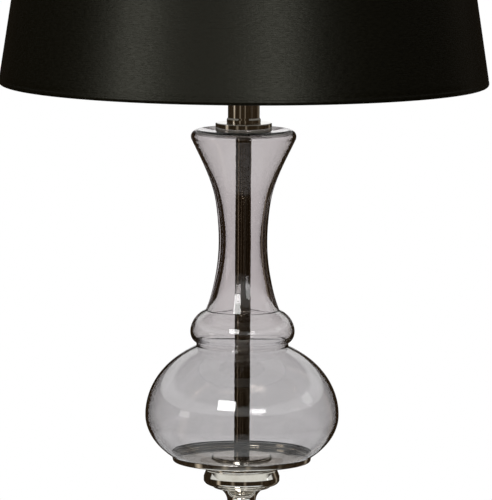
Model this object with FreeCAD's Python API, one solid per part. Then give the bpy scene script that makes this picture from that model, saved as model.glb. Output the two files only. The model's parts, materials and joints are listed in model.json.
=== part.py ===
import FreeCAD, Part
import math
import os

from FreeCAD import Vector

# Table lamp: a smoked glass body between polished nickel fittings, under a tapered satin shade.
#
# Millimetres, +Z up.  The origin is the centre of the underside, on the surface the lamp stands
# on, and the lamp's axis is Z.  The front of the lamp faces -Y and the cord inlet is at the back.
# Each sub-part has a function of its own, which returns the finished solid where it belongs.

# ---------------------------------------------------------------- driving dimensions

# Seams between the stacked pieces, as heights above the table
PAD_TOP = 2.0
PLATE_TOP = 3.5
FOOT_TOP = 66.0
DISH_BOTTOM = 105.0
DISH_RIM = 110.2
GLASS_BOTTOM = 110.7
BULB_MIDDLE = 148.0
BEAD_MIDDLE = 225.5
WAIST = 310.0
GLASS_TOP = 412.5
CAP_BOTTOM = 411.4
CAP_TOP = 418.7
SHADE_BOTTOM = 454.4
SHADE_HEIGHT = 270.0

# Radii of the main outlines
FOOT_RADIUS = 75.0
SPOOL_RADIUS = 35.1
STEM_RADIUS = 13.2
DISH_RADIUS = 63.8
BULB_RADIUS = 89.4
BEAD_RADIUS = 48.2
WAIST_RADIUS = 22.4
LIP_RADIUS = 48.5
CAP_RADIUS = 25.9
CUP_RADIUS = 14.6
TUBE_RADIUS = 7.2
SLEEVE_RADIUS = 19.5
SHADE_BOTTOM_RADIUS = 225.0
SHADE_TOP_RADIUS = 183.5

# Walls and fits
SHELL_WALL = 1.4
NECK_WALL = 6.4
FABRIC = 0.5
LINER = 0.7
SNUG = 0.05
LOOSE = 0.35
SIDE_GAP = 0.1

# The hollow threaded rod that everything is clamped on, M10 x 1
ROD_RADIUS = 4.95
ROD_BORE = 3.5
ROD_HOLE = 5.3
ROD_BOTTOM = 7.0
ROD_TOP = 428.0

# Shade frame
WIRE_RADIUS = 1.75
ARM_COUNT = 3
HEM_DEPTH = 9.0
HEM_WIDTH = 5.4

# Lampholder: push-bar switch, shade shoulder and E27 screw
BAR_HEIGHT = 453.5
BAR_RADIUS = 2.5
SHOULDER_TOP = 460.0
SLEEVE_TOP = 482.0
BULB_TIP = 466.6
BULB_LENGTH = 105.0
GLOBE_RADIUS = 30.0

# Cord inlet in the back of the foot
INLET_HEIGHT = 9.5
INLET_BORE = 3.1
INLET_NECK = 4.2

FULL_TURN = 360.0
AXIS = Vector(0, 0, 1)
RIGHT = Vector(1, 0, 0)
BACK = Vector(0, 1, 0)
CENTRE = Vector(0, 0, 0)


# ---------------------------------------------------------------- drawing helpers

class Outline:
    """A closed outline in the XZ half plane, drawn edge by edge and then turned about Z."""

    def __init__(self, radius, height):
        self.start = Vector(radius, 0, height)
        self.here = self.start
        self.edges = []

    def line(self, radius, height):
        """A straight edge to a point."""
        there = Vector(radius, 0, height)
        self.edges.append(Part.LineSegment(self.here, there).toShape())
        self.here = there
        return self

    def arc(self, via, to):
        """A round edge through one point to another."""
        there = Vector(to[0], 0, to[1])
        self.edges.append(Part.Arc(self.here, Vector(via[0], 0, via[1]), there).toShape())
        self.here = there
        return self

    def curve(self, *points):
        """A smooth edge through all the points."""
        path = [self.here] + [Vector(radius, 0, height) for radius, height in points]
        spline = Part.BSplineCurve()
        spline.interpolate(path)
        self.edges.append(spline.toShape())
        self.here = path[-1]
        return self

    def ellipse(self, half_width, half_height, middle, start, end):
        """Part of an ellipse centred on the axis, between two angles above its middle."""
        centre = Vector(0, 0, middle)
        whole = Part.Ellipse(
            centre + RIGHT * half_width, centre + AXIS * half_height, centre
        )
        low, high = sorted((start, end))
        self.edges.append(Part.ArcOfEllipse(whole, low, high).toShape())
        self.here = Vector(half_width * math.cos(end), 0, middle + half_height * math.sin(end))
        return self

    def turned(self):
        """The solid that the closed outline sweeps about Z."""
        if self.here.distanceToPoint(self.start) > 1e-6:
            self.line(self.start.x, self.start.z)
        wire = Part.Wire(Part.__sortEdges__(self.edges))
        return Part.Face(wire).revolve(CENTRE, AXIS, FULL_TURN)


def ring(inner, outer, bottom, top):
    """A plain ring or, with no inner radius, a disc."""
    solid = Part.makeCylinder(outer, top - bottom, Vector(0, 0, bottom))
    if inner > 0:
        solid = solid.cut(Part.makeCylinder(inner, top - bottom, Vector(0, 0, bottom)))
    return solid


def hex_nut(across_flats, bore, bottom, top):
    """A hexagon nut with its flats square to Y."""
    corner = across_flats / math.sqrt(3)
    turns = [math.radians(60 * index) for index in range(7)]
    corners = [Vector(corner * math.cos(turn), corner * math.sin(turn), bottom) for turn in turns]
    hexagon = Part.Face(Part.makePolygon(corners)).extrude(AXIS * (top - bottom))
    return hexagon.cut(Part.makeCylinder(bore, top - bottom, Vector(0, 0, bottom)))


def edges_at(solid, radius, height, reach=0.3):
    """The round edges of a turned solid that pass near a point of its outline."""
    found = []
    for edge in solid.Edges:
        if not isinstance(edge.Curve, Part.Circle):
            continue
        place = Vector(edge.Curve.Radius, 0, edge.Curve.Center.z)
        if place.distanceToPoint(Vector(radius, 0, height)) < reach:
            found.append(edge)
    return found


def ridges(root, crest, pitch, bottom, count):
    """Outline points of round-about ridges, as (radius, height) pairs from the bottom up."""
    points = []
    for index in range(count):
        foot = bottom + index * pitch
        points.append((crest, foot + pitch * 0.35))
        points.append((crest, foot + pitch * 0.65))
        points.append((root, foot + pitch))
    return points


def around(count, shape, start=0.0):
    """Copies of a shape, evenly spaced about Z."""
    copies = []
    for index in range(count):
        copy = shape.copy()
        copy.rotate(CENTRE, AXIS, start + FULL_TURN * index / count)
        copies.append(copy)
    return copies


# ---------------------------------------------------------------- base

FOOT_BAND_TOP = 17.0
FOOT_STEP_TOP = 19.5
FOOT_STEP_RADIUS = 69.0
FLARE_START = 66.0
FLARE_RADIUS = 50.5
FLARE_MIDDLE = FOOT_STEP_TOP + FLARE_RADIUS


def flare_radius(height, offset=0.0):
    """Radius of the foot's trumpet flare at a height, or of its inner face with an offset."""
    rise = FLARE_MIDDLE - height
    return FLARE_START - math.sqrt((FLARE_RADIUS + offset) ** 2 - rise ** 2)


def flare_point(height, offset=0.0):
    """A point of the flare's outline."""
    return (flare_radius(height, offset), height)


def base_foot():
    """Spun shell: an upright band, a small step, and a trumpet flare that carries the spool."""
    edge = 2.0
    sill = 1.0
    inside = FOOT_RADIUS - SHELL_WALL
    inner_step = FOOT_STEP_RADIUS - SHELL_WALL
    inner_band_top = FOOT_BAND_TOP - SHELL_WALL
    inner_step_top = FOOT_STEP_TOP - SHELL_WALL
    inner_top = FOOT_TOP - SHELL_WALL
    flare_foot = FLARE_START - math.sqrt(
        (FLARE_RADIUS + SHELL_WALL) ** 2 - (FLARE_MIDDLE - inner_step_top - sill) ** 2
    )
    outline = Outline(FOOT_RADIUS, PAD_TOP)
    outline.line(FOOT_RADIUS, FOOT_BAND_TOP - edge)
    corner = edge * math.cos(math.radians(45))
    outline.arc(
        (FOOT_RADIUS - edge + corner, FOOT_BAND_TOP - edge + corner),
        (FOOT_RADIUS - edge, FOOT_BAND_TOP),
    )
    outline.line(FOOT_STEP_RADIUS, FOOT_BAND_TOP)
    outline.line(FOOT_STEP_RADIUS, FOOT_STEP_TOP)
    outline.line(FLARE_START, FOOT_STEP_TOP)
    outline.arc(flare_point(38.0), flare_point(FOOT_TOP))
    outline.line(ROD_HOLE, FOOT_TOP)
    outline.line(ROD_HOLE, inner_top)
    outline.line(flare_radius(inner_top, SHELL_WALL), inner_top)
    outline.arc(flare_point(36.0, SHELL_WALL), (flare_foot, inner_step_top + sill))
    outline.line(flare_foot, inner_step_top)
    outline.line(inner_step, inner_step_top)
    outline.line(inner_step, inner_band_top)
    outline.line(inside, inner_band_top)
    outline.line(inside, PAD_TOP)
    shell = outline.turned()
    reach = 3.0
    start = Vector(0, inside - reach, INLET_HEIGHT)
    inlet = Part.makeCylinder(INLET_NECK, 2 * reach, start, BACK)
    return shell.cut(inlet)


def felt_pad():
    """Felt disc under the base, which is what touches the table."""
    return ring(0, FOOT_RADIUS - 1.0, 0, PAD_TOP)


def bottom_plate():
    """Steel disc that closes the foot."""
    return ring(0, FOOT_RADIUS - SHELL_WALL - SNUG, PAD_TOP, PLATE_TOP)


NUT_POCKET = 13.0
NUT_FLATS = 14.0
NUT_HEIGHT = 3.5
WASHER = 1.5
WASHER_TOP = 13.5
WEIGHT_RADIUS = 66.0
WEIGHT_EDGE = 15.0
WEIGHT_TOP = 26.0
WEIGHT_TOP_RADIUS = 30.0
CHANNEL_WIDTH = 10.0
CHANNEL_DEPTH = 10.5


def base_weight():
    """Cast iron disc with a pocket for the nut and a channel for the cord to the back."""
    outline = Outline(ROD_HOLE, WASHER_TOP)
    outline.line(NUT_POCKET, WASHER_TOP)
    outline.line(NUT_POCKET, PLATE_TOP)
    outline.line(WEIGHT_RADIUS, PLATE_TOP)
    outline.line(WEIGHT_RADIUS, WEIGHT_EDGE)
    outline.line(WEIGHT_TOP_RADIUS, WEIGHT_TOP)
    outline.line(ROD_HOLE, WEIGHT_TOP)
    corner = Vector(-CHANNEL_WIDTH / 2, 0, PLATE_TOP)
    channel = Part.makeBox(CHANNEL_WIDTH, FOOT_RADIUS, CHANNEL_DEPTH, corner)
    channel = channel.cut(ring(0, ROD_HOLE, PLATE_TOP, PLATE_TOP + CHANNEL_DEPTH))
    return outline.turned().cut(channel)


def bottom_nut():
    """Hexagon nut on the lower end of the rod."""
    top = WASHER_TOP - WASHER
    return hex_nut(NUT_FLATS, ROD_RADIUS + SNUG, top - NUT_HEIGHT, top)


def bottom_washer():
    """Steel washer between the nut and the weight."""
    outer = 11.0
    return ring(ROD_HOLE, outer, WASHER_TOP - WASHER, WASHER_TOP)


def cord_inlet():
    """Rubber grommet in the foot's back wall, with a flange on each side of the wall."""
    flange_radius = 6.0
    keeper_radius = 5.2
    thickness = 1.6
    outside = FOOT_RADIUS
    inside = FOOT_RADIUS - SHELL_WALL
    sink = 2.0

    def across(radius, start, length):
        return Part.makeCylinder(radius, length, Vector(0, start, INLET_HEIGHT), BACK)

    flange = across(flange_radius, outside, thickness)
    flange = flange.makeFillet(0.7, [flange.Edges[0]])
    keeper = across(keeper_radius, inside - sink, thickness)
    neck = across(INLET_NECK, inside - sink - 0.2, SHELL_WALL + sink + 0.6)
    bore = across(INLET_BORE, inside - 2 * sink, SHELL_WALL + thickness + 3 * sink)
    wall = ring(inside, outside, INLET_HEIGHT - 8.0, INLET_HEIGHT + 8.0)
    rims = flange.fuse(keeper).cut(wall)
    return rims.fuse(neck).cut(bore).removeSplitter()


def spool():
    """Turned spool under the dish: collar, groove, cone, crisp band, two beads and a cove."""
    collar = 33.3
    groove_top = 98.6
    groove_bottom = 96.2
    band_top = 90.6
    band_bottom = 86.6
    upper_bead = (28.9, 82.9)
    lower_bead = (22.9, 79.6)
    gap = 1.0
    outline = Outline(ROD_HOLE, FOOT_TOP)
    outline.line(STEM_RADIUS, FOOT_TOP)
    outline.line(STEM_RADIUS, FOOT_TOP + 2.0)
    outline.arc((16.2, 75.2), (lower_bead[0] - gap, lower_bead[1] - gap / 2))
    outline.line(lower_bead[0] - gap, lower_bead[1])
    outline.line(*lower_bead)
    outline.arc((26.6, 80.7), (upper_bead[0] - gap, upper_bead[1] - gap / 2))
    outline.line(upper_bead[0] - gap, upper_bead[1])
    outline.line(*upper_bead)
    outline.arc((33.6, 84.3), (SPOOL_RADIUS, band_bottom))
    outline.line(SPOOL_RADIUS, band_top)
    outline.line(collar - 0.3, groove_bottom)
    outline.arc((collar - gap, (groove_bottom + groove_top) / 2), (collar, groove_top))
    outline.line(collar, DISH_BOTTOM)
    outline.line(ROD_HOLE, DISH_BOTTOM)
    return outline.turned()


# ---------------------------------------------------------------- glass body and its rod

DISH_FLOOR = DISH_BOTTOM + 1.2


def dish():
    """Shallow polished dish that the glass stands on; its outside leans out a little."""
    wall = 1.8
    lean = 0.6
    bevel = 0.4
    corner = 1.2
    floor_corner = 1.5
    slack = 1 - math.cos(math.radians(45))
    rim = DISH_RADIUS + lean
    inside = rim - wall
    outline = Outline(ROD_HOLE, DISH_BOTTOM)
    outline.line(DISH_RADIUS - corner, DISH_BOTTOM)
    outline.arc(
        (DISH_RADIUS - corner * slack, DISH_BOTTOM + corner * slack),
        (DISH_RADIUS, DISH_BOTTOM + corner),
    )
    outline.line(rim, DISH_RIM - bevel)
    outline.line(rim - bevel, DISH_RIM)
    outline.line(inside, DISH_RIM)
    outline.line(inside, DISH_FLOOR + floor_corner)
    outline.arc(
        (inside - floor_corner * slack, DISH_FLOOR + floor_corner * slack),
        (inside - floor_corner, DISH_FLOOR),
    )
    outline.line(ROD_HOLE, DISH_FLOOR)
    return outline.turned()


SEAT_TOP = DISH_FLOOR + 2.4


def seat_washer():
    """Round-edged washer that clamps the dish and carries the rod's sleeve."""
    edge = 28.0
    outline = Outline(ROD_HOLE, DISH_FLOOR)
    outline.line(edge, DISH_FLOOR)
    outline.arc((edge - 0.5, DISH_FLOOR + 1.5), (edge - 2.0, SEAT_TOP))
    outline.line(ROD_HOLE, SEAT_TOP)
    return outline.turned()


def lower_gasket():
    """Clear ring between the dish's rim and the glass."""
    return ring(DISH_RADIUS - 1.1, DISH_RADIUS + 0.2, DISH_RIM, GLASS_BOTTOM)


RECESS_FLOOR = 410.6
RECESS_RADIUS = 30.0
LIP_ROUND = 6.5
LIP_WALL = 3.2
INSIDE_TOP = RECESS_FLOOR - LIP_WALL
BULB_WALL = 2.4
BULB_HIGH = 72.7
BULB_LOW = 55.6
GROOVE_RADIUS = 42.5
GROOVE_TOP = 215.3
BEAD_START = (34.0, 245.4)


def angle_at_radius(radius, half_width):
    """Angle above the middle where an ellipse has a radius."""
    return math.acos(radius / half_width)


def angle_at_height(height, middle, half_height):
    """Angle above the middle where an ellipse reaches a height."""
    return math.asin((height - middle) / half_height)


def lip_point(angle, radius):
    """A point of the lip's round edge, or of the wall inside it, at an angle above level."""
    turn = math.radians(angle)
    middle = (LIP_RADIUS - LIP_ROUND, GLASS_TOP - LIP_ROUND)
    return (middle[0] + radius * math.cos(turn), middle[1] + radius * math.sin(turn))


def glass_outside(outline):
    """The outer face, from the top's recess down to the foot of the bulb."""
    groove = angle_at_radius(GROOVE_RADIUS, BULB_RADIUS)
    foot = angle_at_height(GLASS_BOTTOM, BULB_MIDDLE, BULB_LOW)
    outline.line(RECESS_RADIUS, RECESS_FLOOR)
    outline.curve((36.0, GLASS_TOP - 0.9), lip_point(90, LIP_ROUND))
    outline.arc(lip_point(30, LIP_ROUND), lip_point(-27, LIP_ROUND))
    outline.curve(
        (39.6, 386.1), (32.2, 369.5), (26.8, 352.9), (23.9, 335.0), (WAIST_RADIUS, WAIST),
        (23.9, 286.2), (26.8, 269.5), (31.2, 252.8), BEAD_START,
    )
    outline.curve(
        (43.2, 238.9), (47.4, 230.8), (BEAD_RADIUS, BEAD_MIDDLE), (46.6, 219.2),
        (GROOVE_RADIUS, GROOVE_TOP),
    )
    outline.line(GROOVE_RADIUS, BULB_MIDDLE + BULB_HIGH * math.sin(groove))
    outline.ellipse(BULB_RADIUS, BULB_HIGH, BULB_MIDDLE, groove, 0.0)
    outline.ellipse(BULB_RADIUS, BULB_LOW, BULB_MIDDLE, 0.0, foot)


def glass_inside(outline):
    """The inner face, from the foot of the bulb up to the closed top."""
    bulb = BULB_RADIUS - BULB_WALL
    low = BULB_LOW - BULB_WALL
    high = BULB_HIGH - BULB_WALL
    foot = angle_at_height(GLASS_BOTTOM, BULB_MIDDLE, low)
    shoulder = angle_at_radius(44.5, bulb)
    wall_round = LIP_ROUND - LIP_WALL
    outline.line(bulb * math.cos(foot), GLASS_BOTTOM)
    outline.ellipse(bulb, low, BULB_MIDDLE, foot, 0.0)
    outline.ellipse(bulb, high, BULB_MIDDLE, 0.0, shoulder)
    outline.curve(
        (41.0, 211.1), (39.4, 214.0), (41.4, 217.7), (44.6, 221.2), (45.8, BEAD_MIDDLE),
        (44.4, 231.6), (39.4, 238.3), (30.2, 244.2),
    )
    outline.curve(
        (26.0, 252.8), (20.9, 269.5), (17.7, 286.2), (WAIST_RADIUS - NECK_WALL, WAIST),
        (18.2, 335.0), (21.9, 352.9), (28.2, 369.5), (36.1, 386.1), lip_point(-27, wall_round),
    )
    outline.arc(lip_point(30, wall_round), lip_point(90, wall_round))
    outline.curve((36.0, GLASS_TOP - 0.9 - LIP_WALL), (RECESS_RADIUS, INSIDE_TOP))
    outline.line(ROD_HOLE, INSIDE_TOP)


def glass_body():
    """Blown glass: a low bulb, a ring bead, a waisted neck and a wide lip with a closed top."""
    outline = Outline(ROD_HOLE, RECESS_FLOOR)
    glass_outside(outline)
    glass_inside(outline)
    glass = outline.turned()
    shoulder = BULB_MIDDLE + BULB_HIGH * math.sin(angle_at_radius(GROOVE_RADIUS, BULB_RADIUS))
    glass = glass.makeFillet(1.6, edges_at(glass, *BEAD_START))
    crisp_edges = edges_at(glass, GROOVE_RADIUS, shoulder)
    crisp_edges += edges_at(glass, GROOVE_RADIUS, GROOVE_TOP)
    return glass.makeFillet(0.9, crisp_edges)


def upper_gasket():
    """Clear ring between the glass and the cap."""
    return ring(ROD_HOLE, CAP_RADIUS - 1.0, RECESS_FLOOR, CAP_BOTTOM)


def cap():
    """Polished disc that clamps the glass from above."""
    edge = 0.8
    slack = edge * (1 - math.cos(math.radians(45)))
    outline = Outline(ROD_HOLE, CAP_BOTTOM)
    outline.line(CAP_RADIUS, CAP_BOTTOM)
    outline.line(CAP_RADIUS, CAP_TOP - edge)
    outline.arc((CAP_RADIUS - slack, CAP_TOP - slack), (CAP_RADIUS - edge, CAP_TOP))
    outline.line(ROD_HOLE, CAP_TOP)
    return outline.turned()


def rod_sleeve():
    """Dark tube that hides the threaded rod inside the glass."""
    return ring(ROD_HOLE + 0.5, TUBE_RADIUS, SEAT_TOP, INSIDE_TOP)


def threaded_rod():
    """Hollow rod from the base to the lampholder, which clamps the stack and carries the cord."""
    chamfer = 0.5
    outline = Outline(ROD_BORE, ROD_BOTTOM)
    outline.line(ROD_RADIUS - chamfer, ROD_BOTTOM)
    outline.line(ROD_RADIUS, ROD_BOTTOM + chamfer)
    outline.line(ROD_RADIUS, ROD_TOP - chamfer)
    outline.line(ROD_RADIUS - chamfer, ROD_TOP)
    outline.line(ROD_BORE, ROD_TOP)
    return outline.turned()


# ---------------------------------------------------------------- lampholder

CUP_WALL = 1.2
CUP_FLOOR = 1.6
CUP_NECK_TOP = 440.0
CUP_RIM_BOTTOM = 446.0
CUP_RIM_TOP = 449.0
CUP_RIM_RADIUS = SLEEVE_RADIUS + SNUG + CUP_WALL


def holder_cup():
    """Lower shell of the lampholder, with a foot that narrows in a short cone and a bell at the top."""
    floor = CAP_TOP + CUP_FLOOR
    foot = CUP_RADIUS + 1.0
    edge = 0.4
    foot_top = CAP_TOP + 3.2
    cone_top = CAP_TOP + 4.6
    inside = CUP_RADIUS - CUP_WALL
    outline = Outline(ROD_RADIUS + SNUG, CAP_TOP)
    outline.line(foot - edge, CAP_TOP)
    outline.line(foot, CAP_TOP + edge)
    outline.line(foot, foot_top)
    outline.line(CUP_RADIUS, cone_top)
    outline.line(CUP_RADIUS, CUP_NECK_TOP)
    outline.arc((CUP_RADIUS + 1.9, CUP_NECK_TOP + 3.9), (CUP_RIM_RADIUS, CUP_RIM_BOTTOM))
    outline.line(CUP_RIM_RADIUS, CUP_RIM_TOP)
    outline.line(SLEEVE_RADIUS + SNUG, CUP_RIM_TOP)
    outline.line(SLEEVE_RADIUS + SNUG, CUP_RIM_BOTTOM + 0.2)
    outline.line(SLEEVE_RADIUS - 2.0, CUP_RIM_BOTTOM + 0.2)
    outline.arc((inside + 1.4, CUP_NECK_TOP + 3.8), (inside, CUP_NECK_TOP))
    outline.line(inside, floor)
    outline.line(ROD_RADIUS + SNUG, floor)
    return outline.turned()


def clamp_nut():
    """Hexagon nut inside the cup, which pulls the whole stack together."""
    bottom = CAP_TOP + CUP_FLOOR
    return hex_nut(NUT_FLATS, ROD_RADIUS + SNUG, bottom, bottom + NUT_HEIGHT)


def holder_sleeve():
    """Upper shell of the lampholder, with the shade's shoulder and a thread for the ring."""
    inside = SLEEVE_RADIUS - CUP_WALL
    shoulder = SLEEVE_RADIUS + 3.6
    shoulder_bottom = SHOULDER_TOP - 1.6
    root = SLEEVE_RADIUS - 0.5
    pitch = 1.5
    turns = 8
    thread_start = 469.5
    outline = Outline(inside, CUP_RIM_BOTTOM + 0.2)
    outline.line(SLEEVE_RADIUS, CUP_RIM_BOTTOM + 0.2)
    outline.line(SLEEVE_RADIUS, shoulder_bottom)
    outline.line(shoulder, shoulder_bottom)
    outline.line(shoulder, SHOULDER_TOP)
    outline.line(SLEEVE_RADIUS, SHOULDER_TOP)
    outline.line(SLEEVE_RADIUS, thread_start - 0.6)
    outline.line(root, thread_start)
    for radius, height in ridges(root, SLEEVE_RADIUS, pitch, thread_start, turns):
        outline.line(radius, height)
    outline.line(root, SLEEVE_TOP)
    outline.line(inside, SLEEVE_TOP)
    reach = 2 * SLEEVE_RADIUS + 8.0
    bar_hole = Part.makeCylinder(
        BAR_RADIUS + SNUG, reach, Vector(-reach / 2, 0, BAR_HEIGHT), RIGHT
    )
    return outline.turned().cut(bar_hole)


BLOCK_RADIUS = 17.9
BLOCK_BOTTOM = 447.5
BLOCK_TOP = 459.0


def switch_block():
    """Moulded block with the cross bore that the push bar slides in and two wire holes."""
    block = ring(0, BLOCK_RADIUS, BLOCK_BOTTOM, BLOCK_TOP)
    reach = 2 * BLOCK_RADIUS + 2.0
    bore = Part.makeCylinder(BAR_RADIUS + SNUG, reach, Vector(-reach / 2, 0, BAR_HEIGHT), RIGHT)
    wire_place = Vector(0, 9.0, BLOCK_BOTTOM)
    wire_hole = Part.makeCylinder(1.6, BLOCK_TOP - BLOCK_BOTTOM, wire_place)
    for hole in around(2, wire_hole):
        block = block.cut(hole)
    return block.cut(bore)


BAR_TRAVEL = 6.0


def push_bar():
    """Push-through switch bar, shown at the end of its travel with its left end out."""
    length = 2 * (SLEEVE_RADIUS + 5.5)
    left = -length / 2 - BAR_TRAVEL / 2
    bar = Part.makeCylinder(BAR_RADIUS, length, Vector(left, 0, BAR_HEIGHT), RIGHT)
    rims = [edge for edge in bar.Edges if isinstance(edge.Curve, Part.Circle)]
    return bar.makeFillet(1.2, rims)


INSERT_FLOOR = 463.2
INSERT_TOP = 478.0


def holder_insert():
    """Porcelain insert that holds the screw shell and the contacts."""
    bore = 15.0
    outline = Outline(0, BLOCK_TOP)
    outline.line(BLOCK_RADIUS, BLOCK_TOP)
    outline.line(BLOCK_RADIUS, INSERT_TOP)
    outline.line(bore, INSERT_TOP)
    outline.line(bore, INSERT_FLOOR)
    outline.line(0, INSERT_FLOOR)
    return outline.turned()


SCREW_PITCH = 3.6
SCREW_ROOT = 12.1
SCREW_CREST = 13.1
SCREW_START = BULB_TIP + 5.4


def screw_shell():
    """Brass screw shell of the lampholder, which follows the bulb cap's ridges."""
    outer = 14.6
    crest = SCREW_CREST + LOOSE
    root = SCREW_ROOT + LOOSE + 0.9
    bottom = INSERT_FLOOR + SNUG
    top = SLEEVE_TOP - 1.0
    outline = Outline(outer, bottom)
    outline.line(outer, top)
    outline.line(crest, top)
    inner = [(crest, SCREW_START)]
    inner += ridges(root, crest, SCREW_PITCH, SCREW_START, 2)
    for radius, height in reversed(inner):
        outline.line(radius, height)
    outline.line(crest, bottom)
    return outline.turned()


def centre_contact():
    """Springy brass tongue under the bulb's contact."""
    thickness = 0.5
    width = 6.0
    low = INSERT_FLOOR
    high = BULB_TIP - SIDE_GAP - thickness
    under = [(-9.0, low), (-3.0, low), (2.5, high), (5.0, high)]
    over = [(radius, height + thickness) for radius, height in reversed(under)]
    corners = [Vector(x, -width / 2, z) for x, z in under + over + under[:1]]
    return Part.Face(Part.makePolygon(corners)).extrude(BACK * width)


def contact_screws():
    """Two cheese-head screws that fix the contacts in the insert, one on each side of the tongue."""
    head = Part.makeCylinder(1.8, 1.6, Vector(0, 8.6, INSERT_FLOOR))
    slot = Part.makeBox(0.6, 4.0, 0.6, Vector(-0.3, 6.6, INSERT_FLOOR + 1.0))
    return Part.makeCompound(around(2, head.cut(slot)))


def shade_ring():
    """Knurled ring that screws down on the sleeve and holds the shade's fitter."""
    bottom = SHOULDER_TOP + 1.6 + 2 * SIDE_GAP
    top = bottom + 6.2
    outer = 24.4
    grips = 24
    body = ring(SLEEVE_RADIUS + LOOSE, outer, bottom, top)
    groove = Part.makeCylinder(1.1, top - bottom, Vector(outer + 0.5, 0, bottom))
    cutter = around(grips, groove)
    return body.cut(cutter[0].multiFuse(cutter[1:]))


# ---------------------------------------------------------------- bulb

CAP_SHELL_BOTTOM = BULB_TIP + 4.4
CAP_SHELL_TOP = BULB_TIP + 26.5


def bulb_contact():
    """Contact button on the tip of the bulb."""
    outline = Outline(0, BULB_TIP)
    outline.line(3.0, BULB_TIP)
    outline.arc((4.4, BULB_TIP + 0.5), (4.8, BULB_TIP + 1.5))
    outline.line(0, BULB_TIP + 1.5)
    return outline.turned()


def bulb_insulator():
    """Black glass insulator between the contact and the cap."""
    outline = Outline(0, BULB_TIP + 1.5)
    outline.line(6.0, BULB_TIP + 1.5)
    outline.line(11.2, CAP_SHELL_BOTTOM)
    outline.line(0, CAP_SHELL_BOTTOM)
    return outline.turned()


def bulb_screw_cap():
    """Screw cap of the bulb: round-about ridges below a plain skirt."""
    wall = 0.5
    outline = Outline(SCREW_ROOT - 0.9, CAP_SHELL_BOTTOM)
    for radius, height in ridges(SCREW_ROOT, SCREW_CREST, SCREW_PITCH, SCREW_START - 0.4, 3):
        outline.line(radius, height)
    outline.line(SCREW_CREST, CAP_SHELL_TOP - 6.0)
    outline.line(SCREW_CREST, CAP_SHELL_TOP)
    outline.line(SCREW_CREST - wall, CAP_SHELL_TOP)
    outline.line(SCREW_CREST - wall, CAP_SHELL_TOP - 7.0)
    outline.line(SCREW_ROOT - 0.9 - wall, CAP_SHELL_TOP - 9.0)
    outline.line(SCREW_ROOT - 0.9 - wall, CAP_SHELL_BOTTOM)
    return outline.turned()


GLOBE_MIDDLE = BULB_TIP + BULB_LENGTH - GLOBE_RADIUS
GLOBE_NECK = SCREW_CREST - 0.6


def globe_outline(radius, neck, bottom):
    """Half of a pear outline: a neck that widens into a round globe."""
    shoulder = math.radians(-28)
    joint = (radius * math.cos(shoulder), GLOBE_MIDDLE + radius * math.sin(shoulder))
    outline = Outline(0, bottom)
    outline.line(neck, bottom)
    outline.line(neck, CAP_SHELL_TOP + 1.0)
    outline.curve((neck + 3.4, CAP_SHELL_TOP + 14.0), joint)
    crown = math.radians(40)
    outline.arc(
        (radius * math.cos(crown), GLOBE_MIDDLE + radius * math.sin(crown)),
        (0, GLOBE_MIDDLE + radius),
    )
    return outline


def bulb_globe():
    """Clear glass envelope."""
    wall = 0.8
    bottom = CAP_SHELL_TOP - 5.5
    outer = globe_outline(GLOBE_RADIUS, GLOBE_NECK, bottom).turned()
    inner = globe_outline(GLOBE_RADIUS - wall, GLOBE_NECK - wall, bottom).turned()
    return outer.cut(inner)


STEM_TOP = GLOBE_MIDDLE - 12.0


def bulb_stem():
    """Glass stem that carries the filaments, with a pinched top."""
    bottom = CAP_SHELL_TOP - 5.0
    outline = Outline(0, bottom)
    outline.line(9.0, bottom)
    outline.curve((4.6, bottom + 7.0), (3.0, bottom + 20.0))
    outline.line(2.0, STEM_TOP - 1.0)
    outline.line(1.2, STEM_TOP)
    outline.line(0, STEM_TOP)
    return outline.turned()


def filaments():
    """Four upright light-emitting sticks round the stem, leaning in at the top."""
    length = 30.0
    stick = Part.makeCylinder(0.9, length, Vector(6.5, 0, STEM_TOP - 8.0))
    stick.rotate(Vector(6.5, 0, STEM_TOP - 8.0), BACK, -6.0)
    return Part.makeCompound(around(4, stick, 45.0))


# ---------------------------------------------------------------- shade

SHADE_TOP = SHADE_BOTTOM + SHADE_HEIGHT
SHADE_SLOPE = (SHADE_BOTTOM_RADIUS - SHADE_TOP_RADIUS) / SHADE_HEIGHT
FITTER_RADIUS = 27.5
FITTER_TOP = SHOULDER_TOP + SIDE_GAP + 1.6


def shade_radius(height):
    """Outside radius of the shade at a height."""
    return SHADE_BOTTOM_RADIUS - SHADE_SLOPE * (height - SHADE_BOTTOM)


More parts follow.
